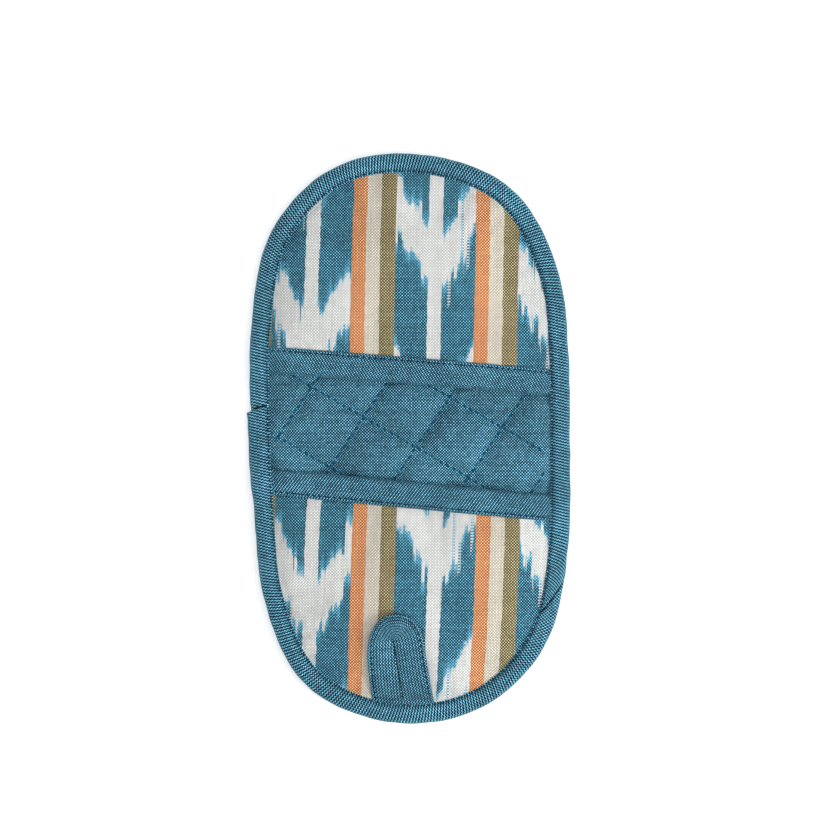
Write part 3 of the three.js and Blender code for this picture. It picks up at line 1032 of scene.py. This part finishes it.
def long_grow(t):
    """The long strip is pressed in where it runs under the short one."""
    return -TUCKED * smoothstep(t, JOIN_T - 2.5, JOIN_T)


def binding_strips():
    """The two strips: they meet in the diagonal seam, and the short one covers the long one's end."""
    binding_strip("edge_binding_long", SEAM_T, JOIN_T + 5, (SEAM_SLANT, 0.0), (SEAM_DIP, 0.1), long_grow,
                  ("edge_binding_upper", "edge_binding_right"))
    binding_strip("edge_binding_short", JOIN_T, SEAM_T + ROUND_TRIP, (JOIN_SLANT, SEAM_SLANT), (0, SEAM_DIP),
                  short_grow, ("edge_binding_lower", "edge_binding_end"))


def binding_stitches():
    """The row of stitches along the binding's inner edge, on top and underneath."""
    t, _ = even_steps(0, ROUND_TRIP, 0.5, inset=7)
    x, y = inset_point(t, GROOVE_AT)
    place = np.mod(t, ROUND_TRIP)
    grown = short_grow(place) * (place > JOIN_T)
    top = np.stack([x, y, stack_top(t) + TAPE + grown + 2 * GAP], -1)
    under = np.stack([x, y, 0 * x + 0.12], -1)
    threads = (
        ("edge_stitches", top, ("edge_thread_upper", "edge_thread_lower")),
        ("edge_stitches_under", under, ()),
    )
    for name, line, nodes in threads:
        piece = stitches(name, [line], THREAD, pitch=2.7, length=1.9)
        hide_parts(*nodes)
        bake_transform(piece)


def binding_crossing(t, slant, squash):
    """A line of points across the top of the edge binding, and a little way down its outside."""
    points = []
    for inset in np.linspace(GROOVE_AT, 0.6, 20):
        place = np.array([t + slant * (inset - BINDING_WIDTH / 2)])
        outside = np.array([(a[0], z[0]) for a, z in binding_section(place, 0 * place)[2:30]])
        x, y = inset_point(place, inset)
        z = np.interp(-inset, -outside[:, 0], outside[:, 1])
        points.append((x[0], y[0], z * squash))
    return np.array(points)


def seam_shadow_lines():
    """Near-continuous stitches of very dark thread across the binding, at the diagonal seam and in the
    crease above the folded end: their dark colour is painted shadow for these creases.
    """
    lines = {
        "shadow_line_thread": binding_crossing(SEAM_T, SEAM_SLANT, 0.91),
        "join_shadow_line": binding_crossing(JOIN_T - 0.7, JOIN_SLANT, 1.0),
    }
    for name, line in lines.items():
        piece = stitches(name, [line], SHADOW_THREAD, pitch=1.5, length=1.7, radius=0.3)
        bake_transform(piece)


# ---- Hanging loop -----------------------------------------


LOOP_LEFT = -17.2  # x
LOOP_RIGHT = 6.2
LOOP_CROWN = -72.6  # y
LOOP_THICKNESS = 2.8
SLIT_TOP = (-6.8, -83.1)
SLIT_LEAN = math.radians(9.5)
SLIT_LENGTH = 29.9
SLIT_WIDTH = 0.16
LOOP_SEWN_FROM = -110.0  # the y where the loop comes out from under the edge binding


def bezier(*controls, steps=24):
    """Points along a curve with two, three or four control points."""
    t = np.linspace(0, 1, steps, endpoint=False)[:, None]
    layer = [np.array(c, float) + 0 * t for c in controls]
    while len(layer) > 1:
        layer = [(1 - t) * a + t * b for a, b in zip(layer, layer[1:])]
    return layer[0]


def under_binding(x):
    """A point of the loop's foot, just under the inner edge of the edge binding."""
    place = place_at(x, -SPINE - CAP_RADIUS)
    radius = float(radius_at(place)) - BINDING_WIDTH + 1.2
    return x, -SPINE - math.sqrt(radius**2 - x**2)


def loop_edges():
    """The loop's outer edge, and the point on the slit or its end that faces each place on it."""
    middle = (LOOP_LEFT + LOOP_RIGHT) / 2
    left_foot = under_binding(LOOP_LEFT + 1.9)
    left_shoulder = (LOOP_LEFT, LOOP_CROWN - 14.4)
    crown = (middle, LOOP_CROWN)
    right_shoulder = (LOOP_RIGHT, LOOP_CROWN - 11.4)
    right_foot = under_binding(LOOP_RIGHT + 4.6)
    outer = np.concatenate([
        bezier(left_foot, (LOOP_LEFT - 0.4, -96), left_shoulder),
        bezier(left_shoulder, (LOOP_LEFT + 0.6, -78), (middle - 6, LOOP_CROWN), crown),
        bezier(crown, (middle + 6.5, LOOP_CROWN), (LOOP_RIGHT - 1, -77), right_shoulder),
        bezier(right_shoulder, (LOOP_RIGHT + 1.8, -98), right_foot),
    ])
    top = np.array(SLIT_TOP)
    down = np.array([math.sin(SLIT_LEAN), -math.cos(SLIT_LEAN)])
    aside = np.array([math.cos(SLIT_LEAN), math.sin(SLIT_LEAN)])
    depth = np.maximum((outer - top) @ down, 0)
    half = len(outer) // 2
    depth[:half] *= SLIT_LENGTH / depth[0]
    depth[half:] *= SLIT_LENGTH / depth[-1]
    turn = np.clip((outer - top) @ aside / 9, -1, 1)
    turn = np.where(depth > 3, np.sign(turn), turn)
    inner = top + depth[:, None] * down + SLIT_WIDTH / 2 * turn[:, None] * aside
    return outer, inner


def loop_height(x, y):
    """Where the loop's underside lies: on the pocket, and lifted a little towards its crown."""
    return pocket_top(x, y) + 0.2 + 2.5 * smoothstep(y, -100, -80)


def loop_point(outer, inner, share, up):
    """Points of the loop at a share of its width, on its upper side, rim or underside."""
    plan = outer + (inner - outer) * share
    width = np.linalg.norm(inner - outer, axis=1)
    inset = inset_of(plan[:, 0], plan[:, 1])
    pressed = 0.22 + 0.78 * smoothstep(inset, 8, 16)
    bulk = LOOP_THICKNESS * pressed * (1 + 0.12 * waves(plan[:, 0], plan[:, 1], 9, 31))
    groove = 0.5 * np.exp(-(((share * width - 1.5) / 0.45) ** 2)) * (up > 0)
    z = loop_height(plan[:, 0], plan[:, 1]) + bulk * (0.5 + 0.5 * up) - groove
    return np.column_stack([plan, z]), width


def hanging_loop():
    """Folded tape with a rounded section, turned back on itself edgeways."""
    outer, inner = loop_edges()
    run = run_along(outer)
    rows = []
    uvs = []
    for a in np.radians(np.arange(0, 360, 10)):
        share = 0.5 - 0.5 * np.sign(math.cos(a)) * abs(math.cos(a)) ** 0.8
        up = np.sign(math.sin(a)) * abs(math.sin(a)) ** 0.62
        row, width = loop_point(outer, inner, share, up)
        underside_shift = 20 if up < 0 else 0
        rows.append(row)
        uvs.append(np.column_stack([share * width + underside_shift, run]))
    rings = np.stack(rows, axis=1)[::-1]
    loop = sweep("hanging_loop_tape", rings, LOOP_CLOTH, np.stack(uvs, axis=1)[::-1])
    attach(loop, "loop")
    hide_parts("hanging_loop")


def loop_stitches():
    """The topstitching round the loop, and a dark thread along the slit between its legs, whose colour is
    painted shadow in the crease where the legs meet.
    """
    outer, inner = loop_edges()
    edge, _ = loop_point(outer, inner, 0.125, 0.97)
    edge = edge[edge[:, 1] > LOOP_SEWN_FROM]
    thread = stitches("loop_stitches", [edge], THREAD)
    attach(thread, "loop")
    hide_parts("loop_thread")

    # A dark thread along the slit, whose colour is painted shadow in the crease between the legs.
    slit, _ = loop_point(outer, inner, 1.0, 0.25)
    left_leg = slit[: len(slit) // 4]
    left_leg = left_leg[left_leg[:, 1] > LOOP_SEWN_FROM]
    thread = stitches("slit_shadow_line", [left_leg], SHADOW_THREAD, pitch=1.5, length=1.7)
    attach(thread, "loop")


# ---- Stage, light and camera ------------------------------

# These are in metres and watts.
FRAME_WIDTH = 0.354  # of the picture, at the height FOCUS_HEIGHT
FOCUS_HEIGHT = 0.006
VIEW_CENTRE = (0.0046, 0.008)
FLOOR_REACH = 20
FLOOR_HEIGHT = -0.0002


def camera():
    """A long lens straight above the mitt."""
    data = bpy.data.cameras.new("camera")
    data.lens = 100
    data.sensor_width = 36
    data.clip_end = 60
    obj = bpy.data.objects.new("camera", data)
    distance = FRAME_WIDTH * data.lens / data.sensor_width
    obj.location = (*VIEW_CENTRE, distance + FOCUS_HEIGHT)
    bpy.context.scene.collection.objects.link(obj)
    bpy.context.scene.camera = obj


def softbox(name, location, size, power):
    """A square light that faces the origin."""
    data = bpy.data.lights.new(name, "AREA")
    data.shape = "SQUARE"
    data.size = size
    data.energy = power
    obj = bpy.data.objects.new(name, data)
    obj.location = location
    obj.rotation_euler = (-Vector(location)).to_track_quat("-Z", "Y").to_euler()
    bpy.context.scene.collection.objects.link(obj)


def pale_floor():
    """A pale floor that glows a little, so that it comes out nearly white."""
    mesh = bpy.data.meshes.new("floor")
    corners = [(x * FLOOR_REACH, y * FLOOR_REACH, 0) for x, y in ((-1, -1), (1, -1), (1, 1), (-1, 1))]
    mesh.from_pydata(corners, [], [(0, 1, 2, 3)])
    floor = bpy.data.objects.new("floor", mesh)
    floor.location.z = FLOOR_HEIGHT
    bpy.context.scene.collection.objects.link(floor)
    material = bpy.data.materials.new("pale_floor")
    material.use_nodes = True
    shader = material.node_tree.nodes["Principled BSDF"]
    shader.inputs["Base Color"].default_value = (0.9, 0.9, 0.9, 1)
    shader.inputs["Roughness"].default_value = 0.9
    shader.inputs["Emission Color"].default_value = (1, 1, 1, 1)
    shader.inputs["Emission Strength"].default_value = 0.3
    mesh.materials.append(material)


def studio_light():
    """A large soft light overhead, a smaller one at the right and a white surround."""
    softbox("overhead", (0.1, 0.1, 1.6), 1.6, 12)
    softbox("key", (1.15, -0.45, 0.95), 0.5, 13)
    world = bpy.data.worlds.new("studio")
    world.use_nodes = True
    background = world.node_tree.nodes["Background"]
    background.inputs["Color"].default_value = (1, 1, 1, 1)
    background.inputs["Strength"].default_value = 0.55
    bpy.context.scene.world = world
    bpy.context.scene.view_settings.view_transform = "Standard"


# ---- Assembly ---------------------------------------------

camera()
pale_floor()
studio_light()
base_panel()
quilting_stitches()
pocket("upper_pocket", UPPER, UPPER_MOUTH, UPPER_IKAT)
pocket("lower_pocket", LOWER, LOWER_MOUTH, LOWER_IKAT)
for name, body, mouth in (("upper", UPPER, UPPER_MOUTH), ("lower", LOWER, LOWER_MOUTH)):
    mouth_tape(name, body, mouth)
    mouth_stitches(name, body, mouth)
binding_strips()
binding_stitches()
seam_shadow_lines()
hanging_loop()
loop_stitches()

bpy.context.view_layer.update()
